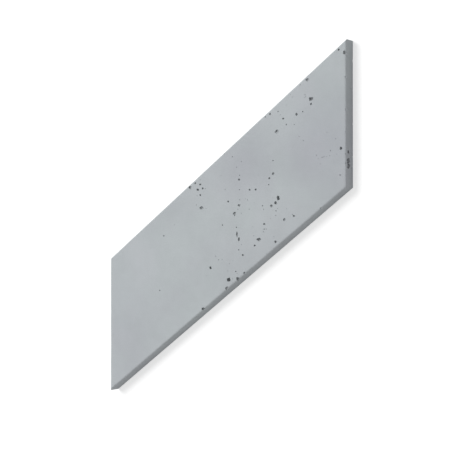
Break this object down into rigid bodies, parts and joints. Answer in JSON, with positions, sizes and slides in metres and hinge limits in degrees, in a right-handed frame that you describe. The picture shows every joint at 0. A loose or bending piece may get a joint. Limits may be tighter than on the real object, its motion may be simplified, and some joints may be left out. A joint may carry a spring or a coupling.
{
  "type": "concrete wall panel",
  "caption": "Slanting four-sided slab of cast concrete with softened edges and open air pores in its face, glued to a wall in courses that meet as a chevron.",
  "frame": {"origin": "middle of the flat back, on the plane that the panel lies on", "axes": "+X across the wall from the lower end to the higher end, +Y up the wall along the upright ends, +Z out of the wall through the cast face"},
  "size_m": [0.4, 0.5, 0.02],
  "materials": {
    "concrete": "matte"
  },
  "bodies": {
    "root": {"concrete_panel": "concrete"}
  },
  "joints": []
}
